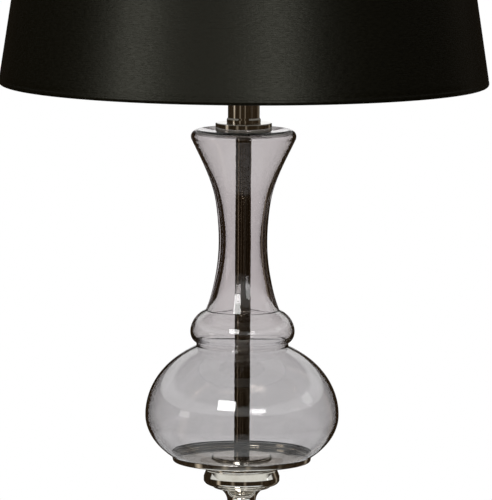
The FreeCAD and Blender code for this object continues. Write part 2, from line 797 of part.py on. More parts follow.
def shade_cover():
    """Satin cover: a tapered wall whose ends fold inwards round the wires to make the hems."""
    bottom = SHADE_BOTTOM_RADIUS
    top = SHADE_TOP_RADIUS
    outline = Outline(bottom, SHADE_BOTTOM)
    outline.line(top, SHADE_TOP)
    outline.line(top - HEM_WIDTH, SHADE_TOP)
    outline.line(top - HEM_WIDTH, SHADE_TOP - HEM_DEPTH)
    outline.line(top - HEM_WIDTH + FABRIC, SHADE_TOP - HEM_DEPTH)
    outline.line(top - HEM_WIDTH + FABRIC, SHADE_TOP - FABRIC)
    outline.line(shade_radius(SHADE_TOP - FABRIC) - FABRIC, SHADE_TOP - FABRIC)
    outline.line(shade_radius(SHADE_BOTTOM + FABRIC) - FABRIC, SHADE_BOTTOM + FABRIC)
    outline.line(bottom - HEM_WIDTH + FABRIC, SHADE_BOTTOM + FABRIC)
    outline.line(bottom - HEM_WIDTH + FABRIC, SHADE_BOTTOM + HEM_DEPTH)
    outline.line(bottom - HEM_WIDTH, SHADE_BOTTOM + HEM_DEPTH)
    outline.line(bottom - HEM_WIDTH, SHADE_BOTTOM)
    cover = outline.turned()
    slit_width = 2 * WIRE_RADIUS + 0.4
    slit = Part.makeBox(
        2 * FABRIC + 1.0, slit_width, HEM_DEPTH,
        Vector(bottom - HEM_WIDTH - 0.5, -slit_width / 2, SHADE_BOTTOM + FABRIC),
    )
    for one in around(ARM_COUNT, slit, ARM_START):
        cover = cover.cut(one)
    return cover


def shade_liner():
    """Stiff lining behind the cover, between the two wires."""
    bottom = SHADE_BOTTOM + FABRIC + 2 * WIRE_RADIUS + 0.4
    top = SHADE_TOP - FABRIC - 2 * WIRE_RADIUS - 0.4
    skin = FABRIC + 0.02
    outline = Outline(shade_radius(bottom) - skin, bottom)
    outline.line(shade_radius(top) - skin, top)
    outline.line(shade_radius(top) - skin - LINER, top)
    outline.line(shade_radius(bottom) - skin - LINER, bottom)
    return outline.turned()


RING_INSET = FABRIC + WIRE_RADIUS + 0.35
LOW_WIRE_HEIGHT = SHADE_BOTTOM + FABRIC + WIRE_RADIUS + SNUG
HIGH_WIRE_HEIGHT = SHADE_TOP - FABRIC - WIRE_RADIUS - SNUG


def wire_ring(height):
    """Round wire inside a hem of the shade."""
    return Part.makeTorus(shade_radius(height) - RING_INSET, WIRE_RADIUS, Vector(0, 0, height))


ARM_START = 90.0
ARM_HEIGHT = FITTER_TOP - 0.8


def fitter():
    """Flat ring in the middle of the shade's frame, which sits on the lampholder's shoulder."""
    return ring(SLEEVE_RADIUS + 2 * LOOSE, FITTER_RADIUS, SHOULDER_TOP + SIDE_GAP, FITTER_TOP)


def spider_arm(turn):
    """Straight wire from the bottom ring, rising a little to the edge of the fitter."""
    weld = 0.6 * WIRE_RADIUS
    outer = shade_radius(LOW_WIRE_HEIGHT) - RING_INSET - weld
    start = Vector(outer, 0, LOW_WIRE_HEIGHT)
    end = Vector(FITTER_RADIUS - 1.0, 0, ARM_HEIGHT)
    run = end - start
    arm = Part.makeCylinder(WIRE_RADIUS, run.Length, start, run)
    arm = arm.cut(wire_ring(LOW_WIRE_HEIGHT))
    arm = arm.cut(Part.makeCylinder(FITTER_RADIUS, 20.0, Vector(0, 0, SHOULDER_TOP - 8.0)))
    arm = max(arm.Solids, key=lambda solid: solid.Volume)
    arm.rotate(CENTRE, AXIS, turn)
    return arm


# ---------------------------------------------------------------- all the pieces

def pieces():
    """Every sub-part by the name of its node."""
    made = {
        "felt_pad": felt_pad(),
        "bottom_plate": bottom_plate(),
        "base_weight": base_weight(),
        "bottom_nut": bottom_nut(),
        "bottom_washer": bottom_washer(),
        "cord_inlet": cord_inlet(),
        "base_foot": base_foot(),
        "spool": spool(),
        "dish": dish(),
        "seat_washer": seat_washer(),
        "lower_gasket": lower_gasket(),
        "glass_body": glass_body(),
        "upper_gasket": upper_gasket(),
        "cap": cap(),
        "rod_sleeve": rod_sleeve(),
        "threaded_rod": threaded_rod(),
        "holder_cup": holder_cup(),
        "clamp_nut": clamp_nut(),
        "holder_sleeve": holder_sleeve(),
        "switch_block": switch_block(),
        "push_bar": push_bar(),
        "holder_insert": holder_insert(),
        "screw_shell": screw_shell(),
        "centre_contact": centre_contact(),
        "contact_screws": contact_screws(),
        "shade_ring": shade_ring(),
        "bulb_contact": bulb_contact(),
        "bulb_insulator": bulb_insulator(),
        "bulb_screw_cap": bulb_screw_cap(),
        "bulb_globe": bulb_globe(),
        "bulb_stem": bulb_stem(),
        "filaments": filaments(),
        "shade_cover": shade_cover(),
        "shade_liner": shade_liner(),
        "top_wire": wire_ring(HIGH_WIRE_HEIGHT),
        "bottom_wire": wire_ring(LOW_WIRE_HEIGHT),
        "fitter": fitter(),
    }
    for index in range(ARM_COUNT):
        turn = ARM_START + FULL_TURN * index / ARM_COUNT
        made[f"spider_arm_{index + 1}"] = spider_arm(turn)
    return made


def main():
    """Write one STEP file for each node, and say how large each solid came out."""
    os.makedirs("parts", exist_ok=True)
    for name, shape in pieces().items():
        shape.exportStep(f"parts/{name}.step")
        closed = all(solid.isValid() and solid.isClosed() for solid in shape.Solids)
        print(f"{name:16} solids {len(shape.Solids)}  volume {shape.Volume:12.1f}  closed {closed}")


main()
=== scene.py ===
"""Table lamp: a black satin shade over a blown smoked glass body, with polished nickel fittings.

Lengths are in metres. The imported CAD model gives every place; this script adds the cloth of the
shade, the materials, a plain floor, soft lights and the camera.
"""

import json
import math

import bmesh
import bpy
from mathutils import Matrix, Vector, noise


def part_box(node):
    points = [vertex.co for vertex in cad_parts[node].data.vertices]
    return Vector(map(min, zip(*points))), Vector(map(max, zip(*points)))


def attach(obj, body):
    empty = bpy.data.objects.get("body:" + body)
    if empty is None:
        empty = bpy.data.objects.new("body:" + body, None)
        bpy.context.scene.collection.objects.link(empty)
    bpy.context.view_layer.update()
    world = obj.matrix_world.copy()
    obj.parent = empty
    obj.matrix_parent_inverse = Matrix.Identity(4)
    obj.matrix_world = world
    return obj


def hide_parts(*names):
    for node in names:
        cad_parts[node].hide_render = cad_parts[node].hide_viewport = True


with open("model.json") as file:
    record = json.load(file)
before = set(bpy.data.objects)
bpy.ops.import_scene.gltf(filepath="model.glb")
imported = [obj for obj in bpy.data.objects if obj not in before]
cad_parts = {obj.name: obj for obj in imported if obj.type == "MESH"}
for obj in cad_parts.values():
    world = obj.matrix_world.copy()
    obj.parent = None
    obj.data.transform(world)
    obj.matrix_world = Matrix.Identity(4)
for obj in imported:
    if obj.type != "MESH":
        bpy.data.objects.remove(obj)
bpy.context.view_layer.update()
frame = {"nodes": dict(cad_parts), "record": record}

MM = 0.001

# ---------------------------------------------------------------- camera

CAMERA_PITCH = math.radians(6.86)
CAMERA_ROLL = math.radians(0.35)
CAMERA_DISTANCE = 4.234
CAMERA_ASIDE = 2.8 * MM
AIM_HEIGHT = 301.0 * MM
LENS_MM = 331.2
SIGHT = 100.0


def make_camera():
    """Long lens in front of the lamp, a little above it, that crops the top of the shade and the foot."""
    data = bpy.data.cameras.new("camera")
    data.lens = LENS_MM
    data.clip_end = SIGHT
    camera = bpy.data.objects.new("camera", data)
    back = Vector((0.0, -math.cos(CAMERA_PITCH), math.sin(CAMERA_PITCH)))
    aim = Vector((CAMERA_ASIDE, 0.0, AIM_HEIGHT))
    turn = Matrix.Rotation(math.pi / 2 - CAMERA_PITCH, 4, "X") @ Matrix.Rotation(CAMERA_ROLL, 4, "Z")
    camera.matrix_world = Matrix.Translation(aim + CAMERA_DISTANCE * back) @ turn
    bpy.context.scene.collection.objects.link(camera)
    bpy.context.scene.camera = camera


# ---------------------------------------------------------------- nodes of a material

def feed(material, socket, value):
    """Links value to the socket if it is another socket, and sets it otherwise."""
    if isinstance(value, bpy.types.NodeSocket):
        material.node_tree.links.new(value, socket)
    else:
        socket.default_value = value


def add(material, kind, inputs=(), **settings):
    """A new node with those settings and inputs."""
    node = material.node_tree.nodes.new("ShaderNode" + kind)
    for name, value in settings.items():
        setattr(node, name, value)
    for name, value in dict(inputs).items():
        feed(material, node.inputs[name], value)
    return node


def calculate(material, operation, one, other=0.0):
    """The result of one piece of arithmetic."""
    return add(material, "Math", {0: one, 1: other}, operation=operation).outputs[0]


def straight(material, stretch=(1.0, 1.0, 1.0)):
    """Places in the piece, in metres, stretched along its axes."""
    where = add(material, "TexCoord").outputs["Object"]
    return add(material, "Mapping", {"Vector": where, "Scale": stretch}).outputs["Vector"]


def turned(material, across=1.0, along=1.0, round_it=0.0):
    """Places on a turned piece: distance from the axis, height, and a share of the way round."""
    where = add(material, "TexCoord").outputs["Object"]
    x, y, z = add(material, "SeparateXYZ", {"Vector": where}).outputs
    flat = add(material, "CombineXYZ", {"X": x, "Y": y}).outputs["Vector"]
    radius = add(material, "VectorMath", {0: flat}, operation="LENGTH").outputs["Value"]
    angle = calculate(material, "ARCTAN2", y, x)
    return add(material, "CombineXYZ", {
        "X": calculate(material, "MULTIPLY", radius, across),
        "Y": calculate(material, "MULTIPLY", angle, round_it),
        "Z": calculate(material, "MULTIPLY", z, along),
    }).outputs["Vector"]


def grain(material, where, size, detail=3.0, rough=0.55):
    """Noise from about 0.2 to 0.8, with lumps of that size."""
    inputs = {"Vector": where, "Scale": 1.0 / size, "Detail": detail, "Roughness": rough}
    return add(material, "TexNoise", inputs).outputs["Fac"]


def spread(material, value, low, high, start=0.25, end=0.75):
    """Maps start..end to low..high, with nothing outside them."""
    return add(material, "MapRange", {
        "Value": value, "From Min": start, "From Max": end, "To Min": low, "To Max": high,
    }).outputs["Result"]


# A Mix node's sockets by number, since its numbers and colours have the same names.
MIX_SHARE = 0
MIX_NUMBERS = (2, 3)
MIX_NUMBER_OUT = 0
MIX_COLOURS = (6, 7)
MIX_COLOUR_OUT = 2


def two_numbers(material, share, one, other):
    """A mix of two numbers."""
    inputs = dict(zip((MIX_SHARE, *MIX_NUMBERS), (share, one, other)))
    return add(material, "Mix", inputs).outputs[MIX_NUMBER_OUT]


def two_colours(material, share, one, other):
    """A mix of two colours, each three numbers or a socket."""
    node = add(material, "Mix", {MIX_SHARE: share}, data_type="RGBA")
    for place, colour in zip(MIX_COLOURS, (one, other)):
        plain = isinstance(colour, tuple)
        feed(material, node.inputs[place], (*colour, 1.0) if plain else colour)
    return node.outputs[MIX_COLOUR_OUT]


def bumps(material, height, depth, under=None):
    """The normal of a surface whose bumps are that deep, on top of another set of bumps."""
    node = add(material, "Bump", {"Height": height, "Distance": depth})
    if under is not None:
        feed(material, node.inputs["Normal"], under)
    return node.outputs["Normal"]


def new_material(name, **plain):
    """A Principled material, and its shader with those plain values."""
    material = bpy.data.materials.new(name)
    material.use_nodes = True
    shader = material.node_tree.nodes["Principled BSDF"]
    for socket, value in plain.items():
        shader.inputs[socket.replace("_", " ")].default_value = value
    return material, shader


def tone(material, shader, share, one, other, start=0.25, end=0.75):
    """A base colour that goes from one to the other as the share goes from start to end."""
    mix = two_colours(material, spread(material, share, 0, 1, start, end), one, other)
    feed(material, shader.inputs["Base Color"], mix)


def dull(material, shader, share, low, high):
    """A roughness from low to high."""
    feed(material, shader.inputs["Roughness"], spread(material, share, low, high))


def relief(material, shader, height, depth, under=None):
    """Bumps that deep on the surface, on top of another set of bumps."""
    feed(material, shader.inputs["Normal"], bumps(material, height, depth, under))


# ---------------------------------------------------------------- materials

WAVE_RADIANS = 20.0
SHADE_RADIUS = 200.0 * MM
WEFT_SPACING = 1.759 * MM
WARP_SPACING = 1.0556 * MM
SLUB_SHARE = 0.35
CHIP_SPACING = 6.91 * MM
GLASS_LID = 10.0 * MM
SKIN = 1.0 * MM
SMOKE_TOP = 250.0 * MM
SMOKE_BOTTOM = 190.0 * MM


def stripes(material, where, direction, spacing, **loose):
    """Waves from 0 to 1 along an axis, that far apart. A wave texture turns 20 radians in its unit."""
    inputs = {"Vector": where, "Scale": 2 * math.pi / (WAVE_RADIANS * spacing)}
    inputs.update({name.replace("_", " "): value for name, value in loose.items()})
    wave = add(material, "TexWave", inputs, wave_type="BANDS", bands_direction=direction)
    return wave.outputs["Fac"]


def painted_shade_in_glass(material):
    """1 on the faces that stand in the glass, where the plating gets painted shade that makes it darker and
    browner, and 0 elsewhere.
    """
    radius, _, height = add(material, "SeparateXYZ", {"Vector": turned(material)}).outputs
    dish_low, dish_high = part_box("dish")
    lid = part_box("glass_body")[1].z - GLASS_LID
    above_floor = calculate(material, "GREATER_THAN", height, dish_low.z + SKIN)
    below_lid = calculate(material, "LESS_THAN", height, lid)
    between = calculate(material, "MULTIPLY", above_floor, below_lid)
    within = calculate(material, "LESS_THAN", radius, dish_high.x - SKIN)
    return calculate(material, "MULTIPLY", within, between)


def polished_nickel():
    """Polished nickel plate on a turned piece, with the faintest lathe lines and wiping marks, and painted
    shade that makes it darker and browner inside the glass.
    """
    material, shader = new_material("polished_nickel", Metallic=1.0)
    lines = grain(material, turned(material, round_it=0.02), 0.5 * MM, detail=2.0)
    smears = grain(material, straight(material), 14 * MM)
    wiped = spread(material, smears, 0, 1)
    bright = two_colours(material, wiped, (0.74, 0.71, 0.66), (0.83, 0.81, 0.77))
    # painted shade: darker, browner plating inside the glass stands in for its dim reflections there
    painted_shade_colour = two_colours(material, wiped, (0.40, 0.36, 0.29), (0.56, 0.52, 0.45))
    feed(material, shader.inputs["Base Color"], two_colours(material, painted_shade_in_glass(material), bright, painted_shade_colour))
    dull(material, shader, smears, 0.03, 0.09)
    wave = grain(material, straight(material), 25 * MM, detail=1.0)
    lathe = bumps(material, lines, 0.0015 * MM)
    relief(material, shader, wave, 0.03 * MM, lathe)
    return material


def smoked_glass():
    """Blown glass with a faint tint in its depth, smoke that thickens downwards, and slow waves."""
    material, shader = new_material("smoked_glass", Transmission_Weight=1.0, IOR=1.5, Roughness=0.0)
    wave = grain(material, turned(material, round_it=0.05), 22 * MM, detail=1.0)
    relief(material, shader, wave, 0.08 * MM)
    height = add(material, "SeparateXYZ", {"Vector": straight(material)}).outputs["Z"]
    cloud = grain(material, straight(material), 30 * MM, detail=2.0)
    smoke = calculate(material, "ADD", height, spread(material, cloud, -6 * MM, 6 * MM))
    tone(material, shader, smoke, (0.74, 0.735, 0.738), (0.80, 0.779, 0.777),
         SMOKE_BOTTOM, SMOKE_TOP)
    tint = add(material, "VolumeAbsorption", {"Color": (0.60, 0.54, 0.58, 1.0), "Density": 50.0})
    output = material.node_tree.nodes["Material Output"]
    feed(material, output.inputs["Volume"], tint.outputs["Volume"])
    return material


def clear_glass():
    """Thin clear glass of the bulb."""
    material, shader = new_material(
        "bulb_glass", Base_Color=(0.97, 0.98, 0.97, 1.0), Transmission_Weight=1.0, IOR=1.47, Roughness=0.0)
    wave = grain(material, straight(material), 12 * MM, detail=1.0)
    relief(material, shader, wave, 0.05 * MM)
    return material


def clear_gasket():
    """Cloudy clear silicone."""
    material, shader = new_material(
        "clear_gasket", Base_Color=(0.75, 0.76, 0.74, 1.0), Transmission_Weight=0.9, IOR=1.41)
    cloud = grain(material, straight(material), 3 * MM)
    dull(material, shader, cloud, 0.35, 0.6)
    relief(material, shader, cloud, 0.05 * MM)
    return material


def black_satin():
    """Black satin: a ribbed weave both ways, with slubs along the weft that catch the light."""
    material, shader = new_material("black_satin", IOR=1.15, Specular_IOR_Level=0.5)
    cloth = turned(material, across=0.0, round_it=SHADE_RADIUS)
    loose = {"Distortion": 0.6, "Detail": 1.0, "Detail_Scale": 0.2}
    weft = stripes(material, cloth, "Z", WEFT_SPACING, **loose)
    warp = stripes(material, cloth, "Y", WARP_SPACING, **loose)
    weave = calculate(material, "MULTIPLY", weft, warp)
    slub_place = turned(material, across=0.0, round_it=SLUB_SHARE * SHADE_RADIUS)
    slubs = grain(material, slub_place, 1.7 * MM, detail=3.0, rough=0.6)
    mottle = grain(material, straight(material), 12 * MM, detail=3.0)
    tone(material, shader, slubs, (0.0006, 0.0005, 0.0001), (0.0018, 0.0015, 0.0006))
    dull(material, shader, slubs, 0.30, 0.44)
    threads = bumps(material, weave, 0.03 * MM)
    slubby = bumps(material, slubs, 0.22 * MM, threads)
    relief(material, shader, mottle, 0.10 * MM, slubby)
    return material


def felt():
    """Pressed black felt."""
    material, shader = new_material("felt", Roughness=0.95, Sheen_Weight=0.4, Sheen_Roughness=0.6)
    fibres = grain(material, straight(material), 0.6 * MM, detail=5.0, rough=0.7)
    tone(material, shader, fibres, (0.008, 0.008, 0.008), (0.035, 0.035, 0.036))
    relief(material, shader, fibres, 0.3 * MM)
    return material


def plated_steel():
    """Bright zinc plate with turning lines and dull patches."""
    material, shader = new_material("steel", Metallic=1.0)
    lines = grain(material, turned(material, round_it=0.01), 0.4 * MM)
    patches = grain(material, straight(material), 8 * MM)
    tone(material, shader, patches, (0.48, 0.48, 0.47), (0.66, 0.66, 0.67))
    dull(material, shader, patches, 0.22, 0.42)
    relief(material, shader, lines, 0.01 * MM)
    return material


def cast_iron():
    """Rough grey casting."""
    material, shader = new_material("iron", Metallic=0.7)
    sand = grain(material, straight(material), 1.2 * MM, detail=5.0, rough=0.65)
    patches = grain(material, straight(material), 15 * MM)
    tone(material, shader, patches, (0.10, 0.09, 0.085), (0.20, 0.19, 0.185))
    dull(material, shader, sand, 0.6, 0.9)
    relief(material, shader, sand, 0.35 * MM)
    return material


def rubber():
    """Matt black rubber."""
    material, shader = new_material("black_rubber", Specular_IOR_Level=0.35)
    dust = grain(material, straight(material), 2 * MM, detail=4.0)
    tone(material, shader, dust, (0.012, 0.012, 0.012), (0.028, 0.028, 0.027))
    dull(material, shader, dust, 0.55, 0.75)
    relief(material, shader, dust, 0.05 * MM)
    return material


def moulding():
    """Black moulded resin with a fine grain."""
    material, shader = new_material("black_moulding", Specular_IOR_Level=0.5)
    pores = grain(material, straight(material), 0.5 * MM, detail=3.0)
    flow = grain(material, straight(material, (1.0, 1.0, 0.3)), 9 * MM)
    tone(material, shader, flow, (0.010, 0.009, 0.009), (0.022, 0.020, 0.019))
    dull(material, shader, pores, 0.26, 0.42)
    relief(material, shader, pores, 0.02 * MM)
    return material


def porcelain():
    """White glazed porcelain with a few specks."""
    material, shader = new_material(
        "porcelain", Specular_IOR_Level=0.6, Coat_Weight=0.4, Coat_Roughness=0.05)
    specks = grain(material, straight(material), 0.7 * MM, detail=2.0)
    glaze = grain(material, straight(material), 6 * MM, detail=1.0)
    tone(material, shader, specks, (0.82, 0.80, 0.75), (0.45, 0.40, 0.33), 0.66, 0.74)
    dull(material, shader, glaze, 0.12, 0.24)
    relief(material, shader, glaze, 0.06 * MM)
    return material


def brass():
    """Plain stamped brass that has dulled a little."""
    material, shader = new_material("brass", Metallic=1.0)
    stain = grain(material, straight(material), 4 * MM, detail=4.0)
    tone(material, shader, stain, (0.78, 0.56, 0.24), (0.52, 0.34, 0.15))
    dull(material, shader, stain, 0.20, 0.42)
    relief(material, shader, stain, 0.02 * MM)
    return material


def solder():
    """Dull grey solder."""
    material, shader = new_material("solder", Metallic=1.0)
    ripple = grain(material, straight(material), 1.0 * MM, detail=3.0)
    tone(material, shader, ripple, (0.42, 0.42, 0.41), (0.62, 0.62, 0.60))
    dull(material, shader, ripple, 0.3, 0.55)
    relief(material, shader, ripple, 0.08 * MM)
    return material


def vitrite():
    """Black glass around the bulb's contact."""
    material, shader = new_material("black_glass", Specular_IOR_Level=0.6)
    flow = grain(material, straight(material), 3 * MM, detail=2.0)
    tone(material, shader, flow, (0.006, 0.006, 0.010), (0.016, 0.014, 0.020))
    dull(material, shader, flow, 0.06, 0.16)
    relief(material, shader, flow, 0.04 * MM)
    return material


def cap_metal():
    """Thin rolled nickel-plated brass."""
    material, shader = new_material("bulb_cap_metal", Metallic=1.0)
    rub = grain(material, turned(material, round_it=0.015), 0.8 * MM)
    tone(material, shader, rub, (0.60, 0.58, 0.54), (0.74, 0.73, 0.70))
    dull(material, shader, rub, 0.22, 0.38)
    relief(material, shader, rub, 0.01 * MM)
    return material


def phosphor():
    """Yellow coating over a row of light chips, which show as slow bands."""
    material, shader = new_material("filament", Specular_IOR_Level=0.4)
    chips = stripes(material, straight(material), "Z", CHIP_SPACING)
    tone(material, shader, chips, (0.88, 0.62, 0.14), (0.95, 0.78, 0.30), 0.0, 1.0)
    dull(material, shader, chips, 0.35, 0.55)
    relief(material, shader, chips, 0.05 * MM)
    return material


def white_liner():
    """White plastic film behind the cloth, with a faint orange peel."""
    material, shader = new_material("white_liner", Specular_IOR_Level=0.4)
    peel = grain(material, straight(material), 1.6 * MM, detail=2.0)
    age = grain(material, straight(material), 60 * MM)
    tone(material, shader, age, (0.80, 0.79, 0.75), (0.86, 0.855, 0.83))
    dull(material, shader, peel, 0.45, 0.6)
    relief(material, shader, peel, 0.03 * MM)
    return material


def painted_wire():
    """White paint on wire, with small runs and dull spots."""
    material, shader = new_material("frame_wire", Specular_IOR_Level=0.5)
    runs = grain(material, straight(material), 3 * MM, detail=3.0)
    tone(material, shader, runs, (0.72, 0.71, 0.68), (0.84, 0.83, 0.81))
    dull(material, shader, runs, 0.3, 0.5)
    relief(material, shader, runs, 0.06 * MM)
    return material


MAKERS = {
    "felt": felt,
    "steel": plated_steel,
    "iron": cast_iron,
    "black_rubber": rubber,
    "polished_nickel": polished_nickel,
    "clear_gasket": clear_gasket,
    "smoked_glass": smoked_glass,
    "black_moulding": moulding,
    "porcelain": porcelain,
    "brass": brass,
    "solder": solder,
    "black_glass": vitrite,
    "bulb_cap_metal": cap_metal,
    "bulb_glass": clear_glass,
    "filament": phosphor,
    "black_satin": black_satin,
    "white_liner": white_liner,
    "frame_wire": painted_wire,
}


def finish_nodes():
    """Gives every CAD node the material of its slot."""
    made = {}
    for entry in frame["record"]["materials"]:
        made[entry["slot"]] = MAKERS[entry["slot"]]()
    for node in frame["nodes"].values():
        for slot in node.material_slots:
            slot.material = made[slot.material.name.split(".")[0]]
    return made


# ---------------------------------------------------------------- the cloth of the shade

CLOTH = 0.5 * MM
SEAM_WIDTH = 10.0 * MM
SEAM_RISE = 0.45 * MM
SEAM_AT = math.radians(70.0)
ARM_TURNS = [math.radians(90.0 + 120.0 * i) for i in range(3)]
SLIT = 5.0 * MM

# A hem: the radius of its roll round the wire, the strip turned in behind it, and the shallow groove
# in front, whose places are distances from the roll.
ROLL = 2.45 * MM
TURN_IN = 9.0 * MM
GROOVE = 0.25 * MM
GROOVE_FROM = 1.2 * MM
GROOVE_AT = 2.2 * MM
GROOVE_TO = 3.4 * MM

# The cloth's slow ripples: how deep they are, and how fast they change round the shade and up it.
RIPPLE = 0.06 * MM
RIPPLE_ROUND = 9.0
RIPPLE_UP = 14.0

# How finely the mesh is divided.
TURN_IN_STEPS = 4
ROLL_STEPS = 8
WALL_STEPS = 56
SEAM_STEPS = 8
COLUMNS = 288


def radius_near(node, height, reach=1.5 * MM):
    """The largest radius of a CAD node near that height."""
    points = [v.co for v in frame["nodes"][node].data.vertices if abs(v.co.z - height) < reach]
    return max(math.hypot(p.x, p.y) for p in points)


class Wall:
    """The slanting wall of the shade: places on it are a distance up it and a depth inwards."""

    def __init__(self):
        low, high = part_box("shade_cover")
        self.bottom = Vector((radius_near("shade_cover", low.z), low.z))
        top = Vector((radius_near("shade_cover", high.z), high.z))
        self.length = (top - self.bottom).length
        self.up = (top - self.bottom) / self.length
        self.inward = Vector((-self.up.y, self.up.x))

    def place(self, up, depth):
        """(radius, height) of a place."""
        return self.bottom + up * self.up + depth * self.inward


def hem_rows():
    """A hem's section from its cut edge to the plain wall: distances from the roll, and depths."""
    outer, middle, inner = (0.5 * CLOTH + steps * ROLL for steps in range(3))
    rows = [(TURN_IN * (TURN_IN_STEPS - i) / TURN_IN_STEPS, inner) for i in range(TURN_IN_STEPS + 1)]
    for i in range(1, ROLL_STEPS):
        angle = math.pi * i / ROLL_STEPS
        rows.append((-ROLL * math.sin(angle), middle + ROLL * math.cos(angle)))
    rows += [(0.0, outer), (GROOVE_FROM, outer), (GROOVE_AT, outer + GROOVE)]
    return rows


def cloth_rows(wall):
    """Places on the cloth's middle line, from the end of the lower turn-in to that of the upper one."""
    low = ROLL + 0.5 * CLOTH
    high = wall.length - low
    step = (high - low - 2 * GROOVE_TO) / WALL_STEPS
    hem = hem_rows()
    rows = [(low + up, depth) for up, depth in hem]
    rows += [(low + GROOVE_TO + step * i, 0.5 * CLOTH) for i in range(WALL_STEPS + 1)]
    rows += [(high - up, depth) for up, depth in reversed(hem)]
    return rows


def cloth_turns(radius):
    """Angles of the mesh's columns, closer together at the seam and at the slits for the arms."""
    turns = {round(2 * math.pi * i / COLUMNS, 6) for i in range(COLUMNS)}
    for i in range(-SEAM_STEPS // 2, 3 * SEAM_STEPS // 2):
        turns.add(round(SEAM_AT + i * SEAM_WIDTH / SEAM_STEPS / radius, 6))
    for arm in ARM_TURNS:
        for side in (-1, 1):
            turns.add(round((arm + side * SLIT / 2 / radius) % (2 * math.pi), 6))
    return sorted(turns)


def seam_rise(turn, radius):
    """How far the cloth stands out at that angle: the lap at the back, with one folded edge."""
    along = (turn - SEAM_AT) * radius
    if along < 0 or along > SEAM_WIDTH:
        return 0.0
    fold = min(1.0, along / (SEAM_WIDTH / SEAM_STEPS))
    slope = min(1.0, (SEAM_WIDTH - along) / (SEAM_WIDTH / 2))
    return SEAM_RISE * min(fold, slope)


def cloth_ring(mesh, wall, turns, up, depth):
    """The vertices of one row of the cloth."""
    radius, height = wall.place(up, depth)
    ring = []
    for turn in turns:
        where = Vector((math.cos(turn), math.sin(turn), 0.0))
        spot = Vector((where.x * RIPPLE_ROUND, where.y * RIPPLE_ROUND, height * RIPPLE_UP))
        out = radius + RIPPLE * noise.noise(spot) + seam_rise(turn, wall.bottom.x)
        ring.append(mesh.verts.new((out * where.x, out * where.y, height)))
    return ring


def in_slit(turn, radius):
    """Whether that angle lies in the slit for one of the arms."""
    return any(abs(turn - arm) * radius < 0.5 * SLIT for arm in ARM_TURNS)


def cloth_mesh(wall):
    """The cloth's middle surface, with the slits in its lower turn-in."""
    turns = cloth_turns(wall.bottom.x)
    mesh = bmesh.new()
    grid = [cloth_ring(mesh, wall, turns, up, depth) for up, depth in cloth_rows(wall)]
    for j in range(len(grid) - 1):
        for i in range(len(turns)):
            after = (i + 1) % len(turns)
            middle = 0.5 * (turns[i] + turns[after]) if after else turns[i]
            if j <= TURN_IN_STEPS and in_slit(middle, wall.bottom.x):
                continue
            mesh.faces.new((grid[j][i], grid[j][after], grid[j + 1][after], grid[j + 1][i]))
    bmesh.ops.recalc_face_normals(mesh, faces=mesh.faces)
    return mesh


def flat_cut(wall):
    """Width, length and area of the flat piece for the cover, a slice of a ring with no lap at the seam."""
    top_radius = wall.place(wall.length, 0.0)[0]
    lean = (wall.bottom.x - top_radius) / wall.length
    # about what a hem's roll and turned-in strip add past the edge of the wall
    hem = TURN_IN + (math.pi - 2) * ROLL
    outer = wall.bottom.x / lean + hem
    inner = top_radius / lean - hem
    half = math.pi * lean
    width = 2 * outer * math.sin(half)
    length = outer - inner * math.cos(half)
    area = half * (outer ** 2 - inner ** 2)
    return width, length, area


def shade_cloth(material):
    """The satin cover, with hems rolled over the two wires and a lapped seam at the back."""
    wall = Wall()
    data = bpy.data.meshes.new("shade_cloth")
    shape = cloth_mesh(wall)
    shape.to_mesh(data)
    shape.free()
    cloth = bpy.data.objects.new("shade_cloth", data)
    bpy.context.scene.collection.objects.link(cloth)
    thick = cloth.modifiers.new("thickness", "SOLIDIFY")
    thick.thickness = CLOTH
    thick.offset = 0.0
    data.materials.append(material)
    data.shade_smooth()
    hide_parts("shade_cover")
    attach(cloth, "shade")
    width, length, area = flat_cut(wall)
    return cloth


# ---------------------------------------------------------------- floor, world and lights

FLOOR_HALF = 60.0
LIGHT_DISTANCE = 2.0
LIGHT_AIM = 0.30
WHITE = (1.0, 1.0, 1.0)
WARM = (1.0, 1.0, 0.84)

# What mirrors see. Fades are in degrees from the front, reaches in metres from the lamp, and
# glows in shares of the height of the sky.
BROWN = (0.042, 0.028, 0.015)
DARK_BROWN = (0.010, 0.006, 0.003)
CREAM = (1.0, 0.86, 0.68)
CREAM_STRIPS = (
    # heading and half width in degrees, and strength
    (-72.0, 9.0, 0.60),
    (-26.0, 7.0, 0.20),
    (10.0, 5.0, 0.20),
    (62.0, 5.0, 0.07),
    (130.0, 8.0, 0.30),
)
STREAK_WIDTH = 9.0
STREAK_FADE = (0.3, 0.7)
BACKDROP_FADE = (171.0, 175.0)
PALE = (0.94, 0.97, 0.97)
PALE_SIDE_FADE = (55.0, 75.0)
PALE_REACH = (0.21, 0.27)
WIDE_PALE_REACH = (0.32, 0.40)
GLOW = (0.75, 0.76, 0.74)
GLOW_FROM = (0.23, 0.26)
GLOW_TO = (0.46, 0.54)

# What light from the floor and the world adds to dull surfaces.
FLOOR_LIGHT = (0.25, 0.25, 0.25)
WORLD_LIGHT = (0.30, 0.30, 0.30)


def heading_of(material, where):
    """The angle of a place round the lamp, in radians: 0 at the front and positive to the right."""
    x, y, _ = add(material, "SeparateXYZ", {"Vector": where}).outputs
    return calculate(material, "ARCTAN2", x, calculate(material, "MULTIPLY", y, -1.0))


def fade(material, angle, degrees):
    """0 to 1 as an angle goes from the first of two numbers of degrees to the second."""
    return spread(material, angle, 0, 1, *map(math.radians, degrees))


